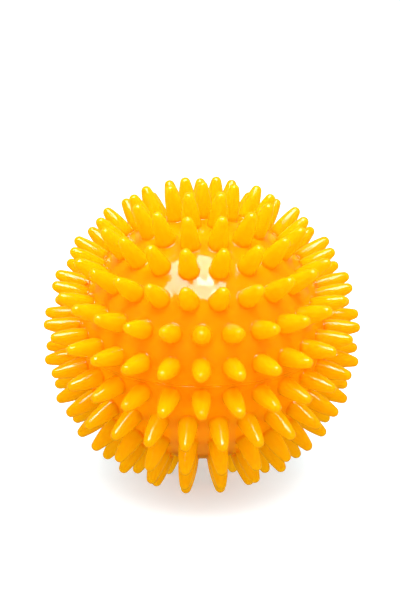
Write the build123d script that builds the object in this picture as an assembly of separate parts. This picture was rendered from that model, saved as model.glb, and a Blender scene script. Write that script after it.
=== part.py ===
from build123d import *
from collections import namedtuple
from math import asin, atan2, degrees, sqrt
import os

# A hollow spiky massage ball in soft PVC: two moulded halves bonded at the waist, and a filling
# valve in the lower pole. Millimetres. The origin is the ball's centre, and +Z runs up through
# the pole spike of the upper half.

# The ball.
TIP_RADIUS = 45.0
SKIN_RADIUS = 35.0
WALL = 2.2
CAVITY_RADIUS = SKIN_RADIUS - WALL

# One spike: a bowed flank on a short conical root, with a round tip.
SPIKE_RADIUS = 2.65
TIP_ROUND = 1.45
ROOT_FLARE = 0.4
ROOT_BITE = 0.05
ROOT_DEPTH = 0.5

# Spikes stand in rings round the pole axis, an even step of latitude apart, and one more stands on
# the upper pole. The rings nearest the middle have a spike at the front (-Y). In the rest, the
# first spike stands a share of that ring's own step round from the front towards +X. Latitude is
# measured from the middle towards that half's own pole. Angles are in degrees.
Ring = namedtuple("Ring", "latitude count turn")
RING_COUNTS = [27, 26, 23, 18, 13, 6]
RING_STEP = 14.2
UPPER_FIRST_LATITUDE = 7.5
LOWER_FIRST_LATITUDE = 6.3
UPPER_FRONT_RINGS = 2
LOWER_FRONT_RINGS = 1
STAGGER = 0.57
POLE_RING = Ring(90.0, 1, 0.0)

# The seam: just below the middle, each half ends in a small bead beside a shared groove. Inside,
# the upper half's lip laps down into the lower half.
SEAM_HEIGHT = -0.4
BEAD_HEIGHT = 0.45
BEAD_PROUD = 0.12
GROOVE_DEPTH = 0.1
GROOVE = (SKIN_RADIUS - GROOVE_DEPTH, SEAM_HEIGHT)
LAP_LENGTH = 2.0
LAP_RADIUS = SKIN_RADIUS - WALL / 2
LAP_HEIGHT = SEAM_HEIGHT - LAP_LENGTH
LIP_RADIUS = sqrt(CAVITY_RADIUS**2 - LAP_HEIGHT**2)

# The valve: radii from the pole axis, depths below the skin, and levels below the ball's centre.
PAD_RADIUS = 6.5
PAD_DEPTH = 3.6
PAD_LEVEL = SKIN_RADIUS - PAD_DEPTH
POCKET_RADIUS = 3.6
POCKET_DEPTH = 1.1
POCKET_LEVEL = SKIN_RADIUS - POCKET_DEPTH
RIM_RADIUS = 4.3
RIM_PROUD = 0.25
RIM_LEVEL = SKIN_RADIUS + RIM_PROUD
NECK_RADIUS = 2.9
FLANGE_RADIUS = 5.2
FLANGE_THICKNESS = 1.2
SLEEVE_DEPTH = 9.8
SLEEVE_LEVEL = SKIN_RADIUS - SLEEVE_DEPTH
STEM_RADIUS = 1.7
RUNNING_FIT = 0.05
BORE_RADIUS = STEM_RADIUS + RUNNING_FIT
NEEDLE_RADIUS = 0.8
NEEDLE_LENGTH = 0.8
BODY_GAP = 0.3
HEAD_RADIUS = POCKET_RADIUS - BODY_GAP
HEAD_THICKNESS = 0.9
HEAD_CROWN = 0.3
STEM_TAPER = 0.8


def turned(edges):
    """The solid swept round the pole axis by a closed outline of (radius, height) edges."""
    return revolve(Plane.XZ * make_face(edges), Axis.Z)


def arc_about_centre(radius, start_height, end_height):
    """The arc about the ball's centre, on the side of positive radius, between two heights."""
    start = degrees(asin(start_height / radius))
    end = degrees(asin(end_height / radius))
    return CenterArc((0, 0), radius, start, end - start)


def spike():
    """One spike standing on the upper pole, its root sunk into the wall.

    The flank leaves the root straight up and bows in until it meets the round tip smoothly.
    """
    foot_radius = SPIKE_RADIUS + ROOT_FLARE
    foot_height = sqrt(SKIN_RADIUS**2 - foot_radius**2) - ROOT_BITE
    neck_height = foot_height + ROOT_FLARE
    base_height = SKIN_RADIUS - ROOT_DEPTH
    root = Polyline(
        (0, base_height), (foot_radius, base_height), (foot_radius, foot_height), (SPIKE_RADIUS, neck_height)
    )
    tip_height = TIP_RADIUS - TIP_ROUND
    rise = tip_height - neck_height
    flank_radius = (SPIKE_RADIUS**2 + rise**2 - TIP_ROUND**2) / (2 * (SPIKE_RADIUS - TIP_ROUND))
    bow = degrees(atan2(rise, flank_radius - SPIKE_RADIUS))
    flank = CenterArc((SPIKE_RADIUS - flank_radius, neck_height), flank_radius, 0, bow)
    tip = CenterArc((0, tip_height), TIP_ROUND, bow, 90 - bow)
    axis = Line((0, TIP_RADIUS), (0, base_height))
    return turned([*root.edges(), flank, tip, axis])


def rings_of_half(first_latitude, front_rings):
    """One half's rings, from the middle to its pole. The first few have a spike at the front."""
    rings = []
    for place, count in enumerate(RING_COUNTS):
        share = 0 if place < front_rings else STAGGER
        rings.append(Ring(first_latitude + place * RING_STEP, count, share * 360 / count))
    return rings


def ring_of_spikes(ring, pole):
    """The spikes of one ring, on the upper half if pole is 1 and on the lower half if it is -1."""
    tilt = Rot(90 - pole * ring.latitude, 0, 0)
    step = 360 / ring.count
    return [Rot(0, 0, ring.turn + step * i) * tilt * spike() for i in range(ring.count)]


def seam_outline(side):
    """Where the half on one side of the seam, 1 above and -1 below, leaves the skin, and its bead."""
    edge_height = SEAM_HEIGHT + side * BEAD_HEIGHT
    edge = (sqrt(SKIN_RADIUS**2 - edge_height**2), edge_height)
    crest = (SKIN_RADIUS + BEAD_PROUD, SEAM_HEIGHT + side * BEAD_HEIGHT / 2)
    return edge_height, ThreePointArc(edge, crest, GROOVE)


def upper_skin():
    """The upper half's wall, with its bead at the seam and the lip that laps into the lower half."""
    edge_height, bead = seam_outline(1)
    outside = arc_about_centre(SKIN_RADIUS, SKIN_RADIUS, edge_height)
    lap = Polyline(GROOVE, (LAP_RADIUS, SEAM_HEIGHT), (LAP_RADIUS, LAP_HEIGHT), (LIP_RADIUS, LAP_HEIGHT))
    inside = arc_about_centre(CAVITY_RADIUS, LAP_HEIGHT, CAVITY_RADIUS)
    axis = Line((0, CAVITY_RADIUS), (0, SKIN_RADIUS))
    return turned([outside, bead, *lap.edges(), inside, axis])


def lower_skin():
    """The lower half's wall, with the rebate for the upper lip and the bored pad for the valve."""
    edge_height, bead = seam_outline(-1)
    pad_height = -sqrt(CAVITY_RADIUS**2 - PAD_RADIUS**2)
    rim_height = -sqrt(SKIN_RADIUS**2 - RIM_RADIUS**2)
    valve_seat = Polyline(
        (RIM_RADIUS, rim_height), (RIM_RADIUS, -RIM_LEVEL), (POCKET_RADIUS, -RIM_LEVEL),
        (POCKET_RADIUS, -POCKET_LEVEL), (NECK_RADIUS, -POCKET_LEVEL), (NECK_RADIUS, -PAD_LEVEL),
        (PAD_RADIUS, -PAD_LEVEL), (PAD_RADIUS, pad_height),
    )
    inside = arc_about_centre(CAVITY_RADIUS, pad_height, LAP_HEIGHT)
    lap = Polyline((LIP_RADIUS, LAP_HEIGHT), (LAP_RADIUS, LAP_HEIGHT), (LAP_RADIUS, SEAM_HEIGHT), GROOVE)
    outside = arc_about_centre(SKIN_RADIUS, edge_height, rim_height)
    return turned([*valve_seat.edges(), inside, *lap.edges(), bead, outside])


def shell(skin, rings, pole):
    """One half of the ball: its wall and every spike of its rings as one moulding."""
    spikes = [one for ring in rings for one in ring_of_spikes(ring, pole)]
    return skin.fuse(*spikes)


def valve_sleeve():
    """The insert in the lower pole: a neck in the wall, a flange on the pad and a tube with a needle hole."""
    flange_level = PAD_LEVEL - FLANGE_THICKNESS
    needle_level = SLEEVE_LEVEL + NEEDLE_LENGTH
    outline = Polyline(
        (BORE_RADIUS, -POCKET_LEVEL), (NECK_RADIUS, -POCKET_LEVEL), (NECK_RADIUS, -PAD_LEVEL),
        (FLANGE_RADIUS, -PAD_LEVEL), (FLANGE_RADIUS, -flange_level), (NECK_RADIUS, -flange_level),
        (NECK_RADIUS, -SLEEVE_LEVEL), (NEEDLE_RADIUS, -SLEEVE_LEVEL), (NEEDLE_RADIUS, -needle_level),
        (BORE_RADIUS, -needle_level), close=True,
    )
    return turned(outline.edges())


def valve_plug():
    """The stopper: a low domed head in the pocket and a stem with a tapered end in the bore."""
    under_head = POCKET_LEVEL + BODY_GAP
    head_edge = under_head + HEAD_THICKNESS
    stem_end = SLEEVE_LEVEL + NEEDLE_LENGTH + BODY_GAP
    side = Polyline(
        (0, -stem_end), (STEM_RADIUS - STEM_TAPER, -stem_end), (STEM_RADIUS, -stem_end - STEM_TAPER),
        (STEM_RADIUS, -under_head), (HEAD_RADIUS, -under_head), (HEAD_RADIUS, -head_edge),
    )
    crown_level = head_edge + HEAD_CROWN
    dome_radius = (HEAD_RADIUS**2 + HEAD_CROWN**2) / (2 * HEAD_CROWN)
    dome = RadiusArc((HEAD_RADIUS, -head_edge), (0, -crown_level), dome_radius)
    axis = Line((0, -crown_level), (0, -stem_end))
    return turned([*side.edges(), dome, axis])


upper_rings = [*rings_of_half(UPPER_FIRST_LATITUDE, UPPER_FRONT_RINGS), POLE_RING]
lower_rings = rings_of_half(LOWER_FIRST_LATITUDE, LOWER_FRONT_RINGS)
parts = {
    "upper_shell": shell(upper_skin(), upper_rings, 1),
    "lower_shell": shell(lower_skin(), lower_rings, -1),
    "valve_sleeve": valve_sleeve(),
    "valve_plug": valve_plug(),
}
os.makedirs("parts", exist_ok=True)
for name, part in parts.items():
    export_step(part, f"parts/{name}.step")
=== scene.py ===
import math
import random
from collections import namedtuple

import bpy
import numpy as np
from mathutils import Matrix, Vector
from mathutils.geometry import delaunay_2d_cdt


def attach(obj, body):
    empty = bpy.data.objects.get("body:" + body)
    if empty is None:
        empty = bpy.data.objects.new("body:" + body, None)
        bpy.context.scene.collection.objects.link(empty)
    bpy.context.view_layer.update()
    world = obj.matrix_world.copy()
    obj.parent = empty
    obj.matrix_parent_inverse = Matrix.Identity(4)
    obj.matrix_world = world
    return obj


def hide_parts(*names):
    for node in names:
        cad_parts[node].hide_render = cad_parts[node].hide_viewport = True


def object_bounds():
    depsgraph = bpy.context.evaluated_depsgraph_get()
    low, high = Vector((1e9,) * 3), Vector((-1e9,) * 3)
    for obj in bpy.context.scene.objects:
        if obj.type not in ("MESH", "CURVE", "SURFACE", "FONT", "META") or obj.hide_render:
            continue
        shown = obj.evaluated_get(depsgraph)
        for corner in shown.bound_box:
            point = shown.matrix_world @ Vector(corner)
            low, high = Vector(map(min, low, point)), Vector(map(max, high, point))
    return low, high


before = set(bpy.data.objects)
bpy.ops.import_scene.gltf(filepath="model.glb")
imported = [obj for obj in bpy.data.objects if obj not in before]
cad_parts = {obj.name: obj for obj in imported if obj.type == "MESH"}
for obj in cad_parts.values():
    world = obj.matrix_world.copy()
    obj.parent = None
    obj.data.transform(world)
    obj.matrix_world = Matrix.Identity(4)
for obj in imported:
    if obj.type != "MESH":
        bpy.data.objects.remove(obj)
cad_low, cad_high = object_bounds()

# Shapes are worked out in millimetres and made in metres. Each half is built in its own frame,
# with +Z towards its own pole, and the lower half is turned over at the end.
MM = 0.001
RANDOM_SEED = 7

# The ball.
TIP_RADIUS = cad_high.z / MM
FLOOR_HEIGHT = cad_low.z
SKIN_RADIUS = 35.0
CAVITY_RADIUS = 32.8

# One spike.
SPIKE_RADIUS = 2.65
TIP_ROUND = 1.45
ROOT_FILLET = 0.35
LEAST_FILLET = 0.02
ROOT_FLARE = 0.4
ROOT_BITE = 0.05
FOOT_HEIGHT = math.sqrt(SKIN_RADIUS**2 - (SPIKE_RADIUS + ROOT_FLARE) ** 2) - ROOT_BITE
FLANK_START = FOOT_HEIGHT + ROOT_FLARE
SEGMENTS = 28
FILLET_STEPS = 4
FLANK_STEPS = 7
TIP_STEPS = 5
MOST_BEND = 0.22
LEAST_SHORT = 0.02
MOST_SHORT = 0.16

# Rings of spikes, by the same rule as in the CAD: an even step of latitude apart, with a spike at
# the front in the rings nearest the middle and a staggered start in the rest. Angles are in degrees.
Ring = namedtuple("Ring", "latitude count turn")
RING_COUNTS = [27, 26, 23, 18, 13, 6]
RING_STEP = 14.2
UPPER_FIRST_LATITUDE = 7.5
LOWER_FIRST_LATITUDE = 6.3
UPPER_FRONT_RINGS = 2
LOWER_FRONT_RINGS = 1
STAGGER = 0.57
POLE_RING = Ring(90.0, 1, 0.0)

# The seam, as (height in the half's own frame, how far proud of the skin). The upper half ends in a
# small ridge over the groove, and the lower half in a rounded lip under it.
UPPER_SEAM = [
    (-0.41, -0.05), (-0.36, -0.02), (-0.3, 0.04), (-0.22, 0.09),
    (-0.12, 0.11), (-0.02, 0.09), (0.08, 0.01), (0.14, 0.0),
]
LOWER_SEAM = [
    (0.43, -0.05), (0.5, -0.06), (0.58, 0.05), (0.65, 0.12),
    (0.76, 0.12), (0.84, 0.04), (0.9, 0.0),
]
SEAM_HEIGHT = -0.42
SEAM_SEGMENTS = 180
SEAM_CLEARANCE = 0.03
GLUE_GAP = 0.01
CROWN_LATITUDE = 88.0
LAP_RADIUS = (SKIN_RADIUS + CAVITY_RADIUS) / 2
LAP_HEIGHT = 1.4

# The valve, as levels from the centre towards the lower pole.
VALVE_SEGMENTS = 60
RIM_RADIUS = 4.3
RIM_FOOT = 4.6
RIM_LEVEL = SKIN_RADIUS + 0.25
POCKET_RADIUS = 3.6
POCKET_LEVEL = SKIN_RADIUS - 1.1
NECK_RADIUS = 2.9
PAD_RADIUS = 6.5
PAD_LEVEL = SKIN_RADIUS - 3.6
BORE_RADIUS = 1.75
EDGE_ROUND = 0.05
EDGE_SEGMENTS = 3
SHARP_ANGLE = 32.0
CAVITY_STEPS = 24
VALVE_SEAT = [
    (PAD_RADIUS, PAD_LEVEL), (NECK_RADIUS, PAD_LEVEL),
    (NECK_RADIUS, POCKET_LEVEL), (POCKET_RADIUS, POCKET_LEVEL),
    (POCKET_RADIUS, RIM_LEVEL - 0.2), (POCKET_RADIUS + 0.06, RIM_LEVEL - 0.06),
    (POCKET_RADIUS + 0.2, RIM_LEVEL), (RIM_RADIUS - 0.25, RIM_LEVEL),
    (RIM_RADIUS - 0.06, RIM_LEVEL - 0.07), (RIM_RADIUS, RIM_LEVEL - 0.2),
    (RIM_RADIUS + 0.08, RIM_LEVEL - 0.36),
]
SLEEVE_GAP = 0.01
SLEEVE_RADIUS = NECK_RADIUS - SLEEVE_GAP
SLEEVE_LEVEL = SKIN_RADIUS - 9.8
FLANGE_RADIUS = 5.2
FLANGE_LEVEL = PAD_LEVEL - 1.2
FLANGE_FACE = PAD_LEVEL - SLEEVE_GAP
NEEDLE_RADIUS = 0.8
NEEDLE_LEVEL = SLEEVE_LEVEL + 0.8
SLEEVE_OUTLINE = [
    (NEEDLE_RADIUS, SLEEVE_LEVEL), (SLEEVE_RADIUS, SLEEVE_LEVEL), (SLEEVE_RADIUS, FLANGE_LEVEL),
    (FLANGE_RADIUS, FLANGE_LEVEL), (FLANGE_RADIUS, FLANGE_FACE), (SLEEVE_RADIUS, FLANGE_FACE),
    (SLEEVE_RADIUS, POCKET_LEVEL), (BORE_RADIUS, POCKET_LEVEL), (BORE_RADIUS, NEEDLE_LEVEL),
    (NEEDLE_RADIUS, NEEDLE_LEVEL),
]
STEM_RADIUS = 1.7
STEM_TAPER = 0.8
STEM_LEVEL = NEEDLE_LEVEL + 0.3
HEAD_RADIUS = 3.3
HEAD_LEVEL = POCKET_LEVEL + 0.3
STOPPER_OUTLINE = [
    (0, STEM_LEVEL), (STEM_RADIUS - STEM_TAPER, STEM_LEVEL), (STEM_RADIUS, STEM_LEVEL + STEM_TAPER),
    (STEM_RADIUS, HEAD_LEVEL), (HEAD_RADIUS, HEAD_LEVEL), (HEAD_RADIUS, HEAD_LEVEL + 0.88),
    (2.7, HEAD_LEVEL + 0.98), (2.6, HEAD_LEVEL + 0.86), (2.2, HEAD_LEVEL + 0.86),
    (2.1, HEAD_LEVEL + 1.06), (1.2, HEAD_LEVEL + 1.14), (0.5, HEAD_LEVEL + 1.17),
    (0, HEAD_LEVEL + 1.18),
]

# Camera and light. Distances and lamp sizes are in metres, the lens in millimetres and angles in
# degrees. A lamp's radiance is its power over pi and over its width times its height.
CAMERA_ELEVATION = 21.88
CAMERA_ROLL = 0.39
CAMERA_DISTANCE = 0.405
CAMERA_LENS = 85.7
CAMERA_SHIFT_X = -0.003
CAMERA_SHIFT_Y = 0.058
CLIP_START = 0.01
CLIP_END = 50
FLOOR_REACH = 3.0
SHINE_RADIANCE = 7.0
CORE_RADIANCE = 10.0
KEY_ELEVATION = 74.5
KEY_RADIANCE = 5.2
Lamp = namedtuple("Lamp", "name elevation azimuth distance width height radiance lights_surface")
LAMPS = [
    Lamp("key", KEY_ELEVATION, 0, 0.5, 0.53, 0.38, KEY_RADIANCE, True),
    Lamp("shine", 74.5, -15, 0.48, 0.43, 0.38, SHINE_RADIANCE, False),
    Lamp("shine_core", 68.5, -10, 0.47, 0.22, 0.04, CORE_RADIANCE, False),
]
MOST_BOUNCES = 32
DIFFUSE_BOUNCES = 28
FILL_RADIANCE = 1.06
UNDER_RADIANCE = 1.35
BACK_RADIANCE = 0.1
SIDE_GAIN = 1.45
FLOOR_COLOUR = (0.8, 0.8, 0.8)
FLOOR_LIFT = 1.02
FLOOR_CLOUD_SCALE = 3.0
FLOOR_ROUGHNESS = 0.9
FLOOR_SPECULAR = 0.1
FLOOR_GLOW = (0.21, 0.4, 0.435)
GLOW_STRENGTH = 1.0

# The surroundings. A pair is where a change starts and ends, as a component of a unit direction.
PALE_SIDE_DROP = 40.0
PALE_EDGE = (0.3, 0.6)
FLOOR_EDGE = (-0.5, -0.7)
DOWN_EDGE = (-0.8, -0.95)
BACK_EDGE = (-0.4, 0.3)
SIDE_EDGE = (0.3, 1.0)
HORIZON_EDGE = (-0.2, 0.2)
DARK_SIDE = (0.02, 0.02, 0.02)
PALE_SIDE = (0.75, 0.52, 0.22)
WHITE = (1, 1, 1, 1)
UNDER_SHARE = 0.3

# Finish of the soft PVC. Colours are linear, lengths are in millimetres and noise scales are per
# metre. A pair is the start and end of a range, and most of a noise lies in NOISE_RANGE.
BODY_COLOUR = (0.97, 0.31, 0.001)
# The spike colours hold painted light. The flank's green, highest near the root, is partly the PVC's own
# yellower tone and partly painted light that lifts the shade round the root. The lower green towards the
# tip is painted shade that offsets the stronger light on the tips.
FLANK_COLOUR_AND_PAINTED_LIGHT = (0.97, 0.4, 0.001)
NECK_COLOUR = (0.97, 0.32, 0.001)
TIP_COLOUR_AND_PAINTED_SHADE = (0.97, 0.24, 0.001)
PVC_AND_PAINTED_LIGHT_STOPS = [(0.0, BODY_COLOUR), (0.12, FLANK_COLOUR_AND_PAINTED_LIGHT), (0.7, NECK_COLOUR), (1.0, TIP_COLOUR_AND_PAINTED_SHADE)]
SKIN_SCATTER = 0.6
SPIKE_SCATTER = 12.0
SCATTER_COLOUR = (1.0, 1.0, 0.3)
RIPPLE_PITCH = 0.55
RIPPLE_DEPTH = 0.004
RIPPLE_PATCHES = (0.42, 0.62)
RIPPLE_START = (0.1, 0.3)
GRAIN_DEPTH = 0.0004
SWELL_DEPTH = 0.004
NOISE_RANGE = (0.3, 0.7)
CLOUD_SCALE = 110.0
CLOUD_WANDER = 0.05
SMUDGE_SCALE = 260.0
SMUDGE_DETAIL = 4.0
SMUDGE_RANGE = (0.35, 0.7)
PVC_ROUGHNESS = (0.04, 0.1)
DRIFT_SCALE = 300.0
DRIFT_PHASE = 6.0
PATCH_SCALE = 90.0
GRAIN_SCALE = 1400.0
SWELL_SCALE = 160.0
PVC_IOR = 1.5
ROOT_SHARE = (0.02, 0.12)
SEAM_REACH = (0.3, 3)
SEAM_SCATTER = 0.02

# Finish of the valve.
MILK_STOPS = [(0.3, (0.78, 0.68, 0.47)), (0.7, (0.9, 0.83, 0.65))]
MILK_SCALE = 400.0
MILK_DETAIL = 3.0
SCUFF_SCALE = 1600.0
SCUFF_DETAIL = 5.0
VALVE_ROUGHNESS = (0.28, 0.5)
VALVE_SUBSURFACE = 0.6
VALVE_SCATTER_COLOUR = (1.0, 0.8, 0.5)
VALVE_SCATTER = 0.8

# Points over the open skin: how far apart they are, and how far from any edge. The triangulation
# covers their whole hull, and joins points that lie closer than the merge distance.
FILLER_SPACING = 1.15
FILLER_CLEARANCE = 0.45
WHOLE_HULL = 0
MERGE_DISTANCE = 1e-8

Spike = namedtuple("Spike", "axis north east latitude")


def rings_of_half(first_latitude, front_rings):
    """One half's rings, from the middle to its pole. The first few have a spike at the front."""
    rings = []
    for place, count in enumerate(RING_COUNTS):
        share = 0 if place < front_rings else STAGGER
        rings.append(Ring(first_latitude + place * RING_STEP, count, share * 360 / count))
    return rings


def spikes_of(rings):
    """Every spike of the rings: its axis, and the directions across it, north being to the pole."""
    found = []
    for ring in rings:
        for i in range(ring.count):
            latitude = math.radians(ring.latitude)
            longitude = math.radians(ring.turn + 360 / ring.count * i)
            around = np.array([math.sin(longitude), -math.cos(longitude), 0.0])
            up = np.array([0.0, 0.0, 1.0])
            axis = math.cos(latitude) * around + math.sin(latitude) * up
            north = math.cos(latitude) * up - math.sin(latitude) * around
            found.append(Spike(axis, north, np.cross(axis, north), latitude))
    return found


def foot_angles(spike, lowest):
    """How far from the axis the foot reaches in each direction, as an angle at the ball's centre."""
    full = math.asin((SPIKE_RADIUS + ROOT_FILLET) / (SKIN_RADIUS + ROOT_FILLET))
    angles = []
    for i in range(SEGMENTS):
        turn = math.tau * i / SEGMENTS
        along = math.sin(spike.latitude)
        across = math.cos(turn) * math.cos(spike.latitude)
        reach = math.hypot(along, across)
        limit = full
        if lowest < SKIN_RADIUS * reach:
            limit = math.atan2(across, along) + math.acos(lowest / SKIN_RADIUS / reach)
        least = math.asin((SPIKE_RADIUS + LEAST_FILLET) / (SKIN_RADIUS + LEAST_FILLET))
        angles.append(max(least, min(full, limit)))
    return angles


def circle(height, radius, segments):
    """A closed circle of unit directions round the pole, at the latitude of a height on a sphere."""
    rise = height / radius
    spread = math.sqrt(1 - rise * rise)
    turns = [math.tau * i / segments for i in range(segments)]
    return [np.array([spread * math.cos(t), spread * math.sin(t), rise]) for t in turns]


def filler_directions(spikes, lowest, rim_angle):
    """Evenly spread directions over the open skin between the feet."""
    count = int(math.tau * SKIN_RADIUS**2 / FILLER_SPACING**2)
    golden = math.pi * (3 - math.sqrt(5))
    rise = 1 - (np.arange(count) + 0.5) / count
    spread = np.sqrt(1 - rise**2)
    turn = golden * np.arange(count)
    spots = np.stack([spread * np.cos(turn), spread * np.sin(turn), rise], 1)
    axes = np.array([spike.axis for spike in spikes])
    nearest = np.arccos(np.clip((spots @ axes.T).max(1), -1, 1))
    clear = nearest > (SPIKE_RADIUS + ROOT_FILLET + FILLER_CLEARANCE) / SKIN_RADIUS
    clear &= rise > (lowest + FILLER_CLEARANCE) / SKIN_RADIUS
    clear &= np.arccos(rise) > rim_angle
    return list(spots[clear])


class Surface:
    """Points in millimetres and faces, collected for one mesh."""

    def __init__(self):
        self.points = []
        self.faces = []

    def loop(self, points):
        """Adds the points and returns their numbers."""
        start = len(self.points)
        self.points.extend(points)
        return list(range(start, start + len(points)))

    def bridge(self, first, second):
        """Faces from one closed loop to the next. Where one has more points, several go to one."""
        share_first = max(1, len(first) // len(second))
        share_second = max(1, len(second) // len(first))
        for i in range(min(len(first), len(second))):
            low = [first[(share_first * i + k) % len(first)] for k in range(share_first + 1)]
            high = [second[(share_second * i + k) % len(second)] for k in range(share_second + 1)]
            if share_first == share_second:
                self.faces.append((low[0], low[1], high[1], high[0]))
                continue
            if share_first > share_second:
                self.faces.extend((here, after, high[0]) for here, after in zip(low, low[1:]))
                self.faces.append((low[-1], high[-1], high[0]))
                continue
            self.faces.extend((low[0], after, here) for here, after in zip(high, high[1:]))
            self.faces.append((low[0], low[-1], high[-1]))

    def fan(self, loop, point):
        """Closes a loop with triangles to one point."""
        tip = self.loop([point])[0]
        for i in range(len(loop)):
            self.faces.append((loop[i], loop[(i + 1) % len(loop)], tip))


def lathe_loop(radius, height, segments):
    """A circle of points round the pole axis."""
    turns = [math.tau * i / segments for i in range(segments)]
    return [np.array([radius * math.cos(t), radius * math.sin(t), height]) for t in turns]


def add_spike(surface, spike, foot, angles, chance):
    """Grows one spike from its foot loop: a root fillet, a bowed flank and a round tip."""
    tip_height = TIP_RADIUS - TIP_ROUND
    rise = tip_height - FLANK_START
    flank_radius = (SPIKE_RADIUS**2 + rise**2 - TIP_ROUND**2) / (2 * (SPIKE_RADIUS - TIP_ROUND))
    bow = math.atan2(rise, flank_radius - SPIKE_RADIUS)
    flank_end = FLANK_START + flank_radius * math.sin(bow)
    bend_turn = chance.uniform(0, math.tau)
    bend_size = MOST_BEND * chance.random()
    bend = bend_size * (math.cos(bend_turn) * spike.north + math.sin(bend_turn) * spike.east)
    short = chance.uniform(LEAST_SHORT, MOST_SHORT)

    def place(radius, height, i):
        turn = math.tau * i / SEGMENTS
        share = min(1.0, max(0.0, (height - FLANK_START) / (TIP_RADIUS - FLANK_START)))
        outward = math.cos(turn) * spike.north + math.sin(turn) * spike.east
        return spike.axis * (height - short * share) + outward * radius + bend * share**2

    def fillet_point(i, share):
        foot_radius = SKIN_RADIUS * math.sin(angles[i])
        fillet = SKIN_RADIUS * (foot_radius - SPIKE_RADIUS) / (SKIN_RADIUS - foot_radius)
        centre = SPIKE_RADIUS + fillet
        height = math.sqrt((SKIN_RADIUS + fillet) ** 2 - centre**2)
        start = math.atan2(-height, -centre) + math.tau
        angle = start + (math.pi - start) * share
        return centre + fillet * math.cos(angle), height + fillet * math.sin(angle)

    loops = [foot]
    for step in range(1, FILLET_STEPS + 1):
        ring = [place(*fillet_point(i, step / FILLET_STEPS), i) for i in range(SEGMENTS)]
        loops.append(surface.loop(ring))
    starts = [fillet_point(i, 1)[1] for i in range(SEGMENTS)]
    for step in range(1, FLANK_STEPS + 1):
        ring = []
        for i in range(SEGMENTS):
            height = starts[i] + (flank_end - starts[i]) * step / FLANK_STEPS
            up = height - FLANK_START
            radius = SPIKE_RADIUS - flank_radius + math.sqrt(flank_radius**2 - up * up)
            ring.append(place(radius, height, i))
        loops.append(surface.loop(ring))
    for step in range(1, TIP_STEPS):
        angle = bow + (math.pi / 2 - bow) * step / TIP_STEPS
        radius = TIP_ROUND * math.cos(angle)
        height = tip_height + TIP_ROUND * math.sin(angle)
        loops.append(surface.loop([place(radius, height, i) for i in range(SEGMENTS)]))
    for first, second in zip(loops, loops[1:]):
        surface.bridge(first, second)
    surface.fan(loops[-1], place(0, TIP_RADIUS, 0))


def add_skin(surface, spikes, seam, rim_angle):
    """The outer skin with holes for the feet, from the seam's lowest row to the pole or the valve rim.

    It is triangulated flat, in a stereographic view from the opposite pole: circles stay circles.
    Returns the seam's lowest loop, each spike's foot loop with its angles, and the rim loop.
    """
    lowest = seam[-1][0] + SEAM_CLEARANCE
    loops = [circle(height, SKIN_RADIUS, SEAM_SEGMENTS) for height, _ in seam]
    feet = []
    for spike in spikes:
        angles = foot_angles(spike, lowest)
        feet.append(angles)
        ring = []
        for i, angle in enumerate(angles):
            turn = math.tau * i / SEGMENTS
            outward = math.cos(turn) * spike.north + math.sin(turn) * spike.east
            ring.append(math.cos(angle) * spike.axis + math.sin(angle) * outward)
        loops.append(ring)
    if rim_angle:
        loops.append(circle(math.cos(rim_angle), 1, VALVE_SEGMENTS))
    directions, edges, hole = [], [], []
    numbers = []
    for number, ring in enumerate(loops):
        start = len(directions)
        directions.extend(ring)
        numbers.append(list(range(start, start + len(ring))))
        edges.extend((start + i, start + (i + 1) % len(ring)) for i in range(len(ring)))
        hole.extend([number if number >= len(seam) else -1] * len(ring))
    filler = filler_directions(spikes, seam[-1][0], rim_angle + FILLER_CLEARANCE / SKIN_RADIUS)
    directions.extend(filler)
    hole.extend([-1] * len(filler))
    directions = np.array(directions)
    flat = directions[:, :2] / (1 + directions[:, 2:])
    corners = [Vector(spot) for spot in flat]
    _, _, triangles, origins, _, _ = delaunay_2d_cdt(corners, edges, [], WHOLE_HULL, MERGE_DISTANCE)
    first_of = [ids[0] for ids in origins]
    heights, proud = zip(*seam)
    places = []
    for spot in first_of:
        direction = directions[spot]
        height = SKIN_RADIUS * direction[2]
        places.append(direction * (SKIN_RADIUS + np.interp(height, heights, proud)))
    start = len(surface.points)
    surface.points.extend(places)
    made_from = {}
    for index, ids in enumerate(origins):
        for spot in ids:
            made_from[spot] = start + index
    for triangle in triangles:
        holes = {hole[first_of[corner]] for corner in triangle}
        if len(holes) == 1 and holes != {-1}:
            continue
        surface.faces.append(tuple(start + corner for corner in triangle))
    found = [[made_from[spot] for spot in ring] for ring in numbers]
    seam_loop = found[0]
    foot_loops = found[len(seam):len(seam) + len(spikes)]
    rim_loop = found[-1] if rim_angle else None
    return seam_loop, list(zip(foot_loops, feet)), rim_loop


def add_inside(surface, loop, profile, segments):
    """Continues the surface inward from a loop, along a (radius, height) profile, to a last loop."""
    for radius, height in profile:
        ring = surface.loop(lathe_loop(radius, height, segments))
        surface.bridge(ring, loop)
        loop = ring
    return loop


def cavity_arc(start_height, end_height, steps):
    """The cavity's (radius, height) points between two heights, the first and last among them."""
    start = math.asin(start_height / CAVITY_RADIUS)
    end = math.asin(end_height / CAVITY_RADIUS)
    angles = [start + (end - start) * i / steps for i in range(steps + 1)]
    return [(CAVITY_RADIUS * math.cos(a), CAVITY_RADIUS * math.sin(a)) for a in angles]


def finished_mesh(name, surface, pole, material):
    """A smooth-shaded object from a surface; pole -1 turns it over into the lower half."""
    points = np.array(surface.points) * MM
    points[:, 2] *= pole
    faces = surface.faces if pole > 0 else [tuple(reversed(face)) for face in surface.faces]
    mesh = bpy.data.meshes.new(name)
    mesh.from_pydata(points.tolist(), [], [tuple(int(i) for i in face) for face in faces])
    mesh.validate()
    mesh.shade_smooth()
    mesh.materials.append(material)
    piece = bpy.data.objects.new(name, mesh)
    bpy.context.scene.collection.objects.link(piece)
    return piece


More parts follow.
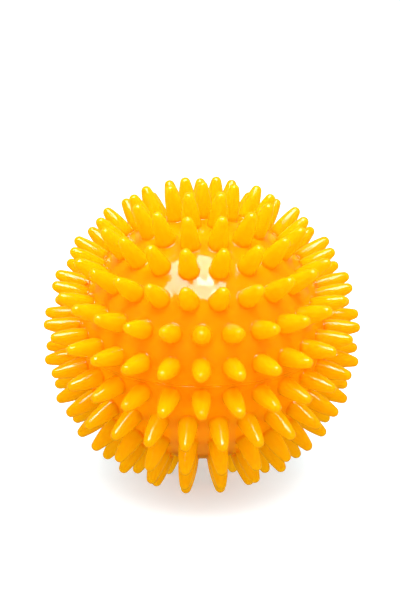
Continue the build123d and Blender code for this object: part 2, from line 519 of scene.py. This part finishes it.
def spiky_half(name, pole, rings, seam, material):
    """One half of the ball: skin, spikes, seam, lap and cavity as a single closed surface."""
    surface = Surface()
    spikes = spikes_of(rings)
    chance = random.Random(RANDOM_SEED + pole)
    rim_angle = 0 if pole > 0 else math.asin(RIM_FOOT / SKIN_RADIUS)
    seam_loop, feet, rim_loop = add_skin(surface, spikes, seam, rim_angle)
    for spike, (foot, angles) in zip(spikes, feet):
        add_spike(surface, spike, foot, angles, chance)
    lap_radius = LAP_RADIUS - pole * GLUE_GAP
    lap_end = -pole * LAP_HEIGHT + GLUE_GAP
    cavity_end = math.sqrt(CAVITY_RADIUS**2 - PAD_RADIUS**2)
    if pole > 0:
        cavity_end = CAVITY_RADIUS * math.sin(math.radians(CROWN_LATITUDE))
    lap = [(lap_radius, seam[0][0]), (lap_radius, lap_end)]
    profile = lap + cavity_arc(lap_end, cavity_end, CAVITY_STEPS)
    last = add_inside(surface, seam_loop, profile, SEAM_SEGMENTS)
    if pole > 0:
        surface.fan(last[::-1], np.array([0, 0, CAVITY_RADIUS]))
    else:
        last = add_inside(surface, last, VALVE_SEAT, VALVE_SEGMENTS)
        surface.bridge(rim_loop, last)
    return finished_mesh(name, surface, pole, material)


def lathed(name, outline, material):
    """A turned valve piece from a (radius, level) outline, which has both ends on the axis or neither."""
    surface = Surface()
    on_axis = outline[0][0] == 0
    rings = [surface.loop(lathe_loop(r, z, VALVE_SEGMENTS)) for r, z in outline if r > 0]
    for first, second in zip(rings, rings[1:]):
        surface.bridge(first, second)
    if on_axis:
        surface.fan(rings[0][::-1], np.array([0, 0, outline[0][1]]))
        surface.fan(rings[-1], np.array([0, 0, outline[-1][1]]))
    else:
        surface.bridge(rings[-1], rings[0])
    piece = finished_mesh(name, surface, -1, material)
    bevel = piece.modifiers.new("rounded_edges", "BEVEL")
    bevel.width = EDGE_ROUND * MM
    bevel.segments = EDGE_SEGMENTS
    bevel.limit_method = "ANGLE"
    bevel.angle_limit = math.radians(SHARP_ANGLE)
    return piece


def add_node(tree, kind, inputs=None, **settings):
    """A shader node with its settings; an input is given a value, or an output socket to link."""
    made = tree.nodes.new(kind)
    for key, value in settings.items():
        setattr(made, key, value)
    for key, value in (inputs or {}).items():
        if isinstance(value, bpy.types.NodeSocket):
            tree.links.new(value, made.inputs[key])
        else:
            made.inputs[key].default_value = value
    return made


def new_material(name):
    """A material with its node tree and its Principled shader."""
    material = bpy.data.materials.new(name)
    material.use_nodes = True
    tree = material.node_tree
    return material, tree, tree.nodes["Principled BSDF"]


def ramp(tree, share, stops):
    """A colour ramp over a 0 to 1 share, from (position, linear colour) stops."""
    made = add_node(tree, "ShaderNodeValToRGB", {"Fac": share})
    elements = made.color_ramp.elements
    while len(elements) < len(stops):
        elements.new(0.5)
    for element, (position, colour) in zip(elements, stops):
        element.position = position
        element.color = (*colour, 1)
    return made.outputs["Color"]


def noise(tree, place, scale, detail=2.0):
    """A noise of 0 to 1 over the object's own coordinates."""
    inputs = {"Vector": place, "Scale": scale, "Detail": detail}
    return add_node(tree, "ShaderNodeTexNoise", inputs).outputs["Fac"]


def stretched(tree, value, low, high, to_low, to_high):
    """The value carried from one range to another, and held at the ends."""
    inputs = {"Value": value, "From Min": low, "From Max": high, "To Min": to_low, "To Max": to_high}
    return add_node(tree, "ShaderNodeMapRange", inputs).outputs["Result"]


def mixed(tree, share, first, second):
    """The first colour where the share is 0 and the second where it is 1."""
    inputs = {0: share, 6: first, 7: second}
    return add_node(tree, "ShaderNodeMix", inputs, data_type="RGBA").outputs[2]


def maths(tree, operation, first, second):
    """The result of a maths node."""
    return add_node(tree, "ShaderNodeMath", {0: first, 1: second}, operation=operation).outputs[0]


def soft_pvc():
    """Translucent orange PVC, yellower on the spikes' flanks partly by its own tone and partly by painted
    light at their roots, darker at the tips by painted shade, with the mould's fine turning marks.
    """
    material, tree, shader = new_material("soft_pvc")
    place = add_node(tree, "ShaderNodeTexCoord").outputs["Object"]
    radius = add_node(tree, "ShaderNodeVectorMath", {0: place}, operation="LENGTH").outputs["Value"]
    share = stretched(tree, radius, SKIN_RADIUS * MM, TIP_RADIUS * MM, 0.0, 1.0)
    cloud = noise(tree, place, CLOUD_SCALE)
    wander = stretched(tree, cloud, *NOISE_RANGE, -CLOUD_WANDER, CLOUD_WANDER)
    # Painted light near each spike's root and painted shade towards its tip, on top of the PVC's own
    # tone.
    colour = ramp(tree, maths(tree, "ADD", share, wander), PVC_AND_PAINTED_LIGHT_STOPS)
    tree.links.new(colour, shader.inputs["Base Color"])
    smudge = noise(tree, place, SMUDGE_SCALE, SMUDGE_DETAIL)
    roughness = stretched(tree, smudge, *SMUDGE_RANGE, *PVC_ROUGHNESS)
    tree.links.new(roughness, shader.inputs["Roughness"])
    drift = maths(tree, "MULTIPLY", noise(tree, place, DRIFT_SCALE), DRIFT_PHASE)
    phase = maths(tree, "ADD", maths(tree, "MULTIPLY", radius, math.tau / (RIPPLE_PITCH * MM)), drift)
    wave = maths(tree, "SINE", phase, 0.0)
    patches = noise(tree, place, PATCH_SCALE)
    strong = stretched(tree, patches, *RIPPLE_PATCHES, 0.0, RIPPLE_DEPTH * MM)
    on_flank = stretched(tree, share, *RIPPLE_START, 0.0, 1.0)
    ripple = maths(tree, "MULTIPLY", maths(tree, "MULTIPLY", wave, strong), on_flank)
    grain = maths(tree, "MULTIPLY", noise(tree, place, GRAIN_SCALE), GRAIN_DEPTH * MM)
    swell = maths(tree, "MULTIPLY", noise(tree, place, SWELL_SCALE), SWELL_DEPTH * MM)
    relief = maths(tree, "ADD", maths(tree, "ADD", ripple, grain), swell)
    bump = add_node(tree, "ShaderNodeBump", {"Height": relief, "Strength": 1.0, "Distance": 1.0})
    tree.links.new(bump.outputs["Normal"], shader.inputs["Normal"])
    shader.inputs["IOR"].default_value = PVC_IOR
    shader.inputs["Subsurface Weight"].default_value = 1.0
    shader.inputs["Subsurface Radius"].default_value = SCATTER_COLOUR
    reach = stretched(tree, share, *ROOT_SHARE, SKIN_SCATTER * MM, SPIKE_SCATTER * MM)
    height = add_node(tree, "ShaderNodeSeparateXYZ", {"Vector": place}).outputs["Z"]
    from_seam = maths(tree, "ABSOLUTE", maths(tree, "SUBTRACT", height, SEAM_HEIGHT * MM), 0.0)
    start, end = (distance * MM for distance in SEAM_REACH)
    near_seam = stretched(tree, from_seam, start, end, SEAM_SCATTER * MM, SPIKE_SCATTER * MM)
    tree.links.new(maths(tree, "MINIMUM", reach, near_seam), shader.inputs["Subsurface Scale"])
    return material


def valve_pvc():
    """Milky cream PVC, harder and less glossy than the ball, with handling marks."""
    material, tree, shader = new_material("valve_pvc")
    place = add_node(tree, "ShaderNodeTexCoord").outputs["Object"]
    cloud = noise(tree, place, MILK_SCALE, MILK_DETAIL)
    tree.links.new(ramp(tree, cloud, MILK_STOPS), shader.inputs["Base Color"])
    scuff = noise(tree, place, SCUFF_SCALE, SCUFF_DETAIL)
    roughness = stretched(tree, scuff, *NOISE_RANGE, *VALVE_ROUGHNESS)
    tree.links.new(roughness, shader.inputs["Roughness"])
    height = maths(tree, "MULTIPLY", scuff, GRAIN_DEPTH * MM)
    bump = add_node(tree, "ShaderNodeBump", {"Height": height, "Strength": 1.0, "Distance": 1.0})
    tree.links.new(bump.outputs["Normal"], shader.inputs["Normal"])
    shader.inputs["Subsurface Weight"].default_value = VALVE_SUBSURFACE
    shader.inputs["Subsurface Radius"].default_value = VALVE_SCATTER_COLOUR
    shader.inputs["Subsurface Scale"].default_value = VALVE_SCATTER * MM
    return material


def floor():
    """A plain pale floor under the lowest spikes, with a faint glow that keeps the shadow neutral."""
    material, tree, shader = new_material("pale_floor")
    place = add_node(tree, "ShaderNodeTexCoord").outputs["Object"]
    lighter = [FLOOR_LIFT * share for share in FLOOR_COLOUR]
    stops = list(zip(NOISE_RANGE, [FLOOR_COLOUR, lighter]))
    colour = ramp(tree, noise(tree, place, FLOOR_CLOUD_SCALE), stops)
    tree.links.new(colour, shader.inputs["Base Color"])
    shader.inputs["Emission Color"].default_value = (*FLOOR_GLOW, 1)
    shader.inputs["Emission Strength"].default_value = GLOW_STRENGTH
    shader.inputs["Roughness"].default_value = FLOOR_ROUGHNESS
    shader.inputs["Specular IOR Level"].default_value = FLOOR_SPECULAR
    mesh = bpy.data.meshes.new("floor")
    signs = [(-1, -1), (1, -1), (1, 1), (-1, 1)]
    corners = [(FLOOR_REACH * x, FLOOR_REACH * y, 0) for x, y in signs]
    mesh.from_pydata(corners, [], [range(len(corners))])
    mesh.materials.append(material)
    made = bpy.data.objects.new("floor", mesh)
    made.location.z = FLOOR_HEIGHT
    made.visible_glossy = False
    made.visible_diffuse = False
    bpy.context.scene.collection.objects.link(made)


def softbox(lamp):
    """A light facing the ball; azimuth is measured from the front, -Y, towards +X.

    A rectangular one lights surfaces only, and an elliptical one is seen in reflections only.
    """
    data = bpy.data.lights.new(lamp.name, "AREA")
    data.shape = "RECTANGLE" if lamp.lights_surface else "ELLIPSE"
    data.size = lamp.width
    data.size_y = lamp.height
    data.energy = lamp.radiance * math.pi * lamp.width * lamp.height
    made = bpy.data.objects.new(lamp.name, data)
    e, a = math.radians(lamp.elevation), math.radians(lamp.azimuth)
    towards = Vector((math.cos(e) * math.sin(a), -math.cos(e) * math.cos(a), math.sin(e)))
    made.location = towards * lamp.distance
    made.rotation_euler = towards.to_track_quat("Z", "Y").to_euler()
    made.visible_diffuse = lamp.lights_surface
    made.visible_glossy = not lamp.lights_surface
    bpy.context.scene.collection.objects.link(made)


def surroundings():
    """What is round the ball, and it differs by the kind of ray.

    Seen directly it is plain white. Reflections see a dark room with a warm pale side behind the
    ball. Surfaces are lit by a soft fill, which is stronger from the sides and weak from low behind.
    """
    world = bpy.data.worlds.new("studio")
    world.use_nodes = True
    tree = world.node_tree
    way = add_node(tree, "ShaderNodeTexCoord").outputs["Generated"]
    split = add_node(tree, "ShaderNodeSeparateXYZ", {"Vector": way})
    height = split.outputs["Z"]

    drop = math.radians(PALE_SIDE_DROP)
    inputs = {0: way, 1: (0, math.cos(drop), -math.sin(drop))}
    ahead = add_node(tree, "ShaderNodeVectorMath", inputs, operation="DOT_PRODUCT").outputs["Value"]
    behind = stretched(tree, ahead, *PALE_EDGE, 0.0, 1.0)
    above_floor = stretched(tree, height, *FLOOR_EDGE, 1.0, 0.0)
    straight_down = stretched(tree, height, *DOWN_EDGE, 0.0, UNDER_SHARE)
    pale = maths(tree, "MAXIMUM", maths(tree, "MULTIPLY", behind, above_floor), straight_down)
    shade = ramp(tree, pale, [(0.0, DARK_SIDE), (1.0, PALE_SIDE)])

    under = stretched(tree, split.outputs["Y"], *BACK_EDGE, UNDER_RADIANCE, BACK_RADIANCE)
    sideways = maths(tree, "ABSOLUTE", split.outputs["X"], 0.0)
    gain = stretched(tree, sideways, *SIDE_EDGE, 1.0, SIDE_GAIN)
    level = stretched(tree, height, *HORIZON_EDGE, under, FILL_RADIANCE)
    fill = maths(tree, "MULTIPLY", level, gain)

    path = add_node(tree, "ShaderNodeLightPath")
    indirect = mixed(tree, path.outputs["Is Glossy Ray"], fill, shade)
    seen = mixed(tree, path.outputs["Is Camera Ray"], indirect, WHITE)
    tree.links.new(seen, tree.nodes["Background"].inputs["Color"])
    bpy.context.scene.world = world


def camera():
    """The view from above the front, with the ball a little below the middle of the picture."""
    data = bpy.data.cameras.new("camera")
    data.lens = CAMERA_LENS
    data.shift_x = CAMERA_SHIFT_X
    data.shift_y = CAMERA_SHIFT_Y
    data.clip_start = CLIP_START
    data.clip_end = CLIP_END
    made = bpy.data.objects.new("camera", data)
    tilt = math.radians(CAMERA_ELEVATION)
    back = Vector((0, -math.cos(tilt), math.sin(tilt)))
    roll = Matrix.Rotation(math.radians(CAMERA_ROLL), 3, "Z").to_quaternion()
    made.rotation_mode = "QUATERNION"
    made.rotation_quaternion = back.to_track_quat("Z", "Y") @ roll
    made.location = back * CAMERA_DISTANCE
    bpy.context.scene.collection.objects.link(made)
    bpy.context.scene.camera = made


orange = soft_pvc()
cream = valve_pvc()
upper_rings = [*rings_of_half(UPPER_FIRST_LATITUDE, UPPER_FRONT_RINGS), POLE_RING]
lower_rings = rings_of_half(LOWER_FIRST_LATITUDE, LOWER_FRONT_RINGS)
upper = spiky_half("upper_spiky_shell", 1, upper_rings, UPPER_SEAM, orange)
lower = spiky_half("lower_spiky_shell", -1, lower_rings, LOWER_SEAM, orange)
sleeve = lathed("valve_sleeve_moulding", SLEEVE_OUTLINE, cream)
stopper = lathed("valve_stopper", STOPPER_OUTLINE, cream)
PIECES = [
    (upper, "upper_shell", "ball", "soft_pvc"),
    (lower, "lower_shell", "ball", "soft_pvc"),
    (sleeve, "valve_sleeve", "ball", "valve_pvc"),
    (stopper, "valve_plug", "plug", "valve_pvc"),
]
for piece, node, body, slot in PIECES:
    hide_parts(node)
    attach(piece, body)

floor()
for lamp in LAMPS:
    softbox(lamp)
bpy.context.scene.cycles.max_bounces = MOST_BOUNCES
bpy.context.scene.cycles.diffuse_bounces = DIFFUSE_BOUNCES
surroundings()
camera()
bpy.context.scene.view_settings.view_transform = "Standard"
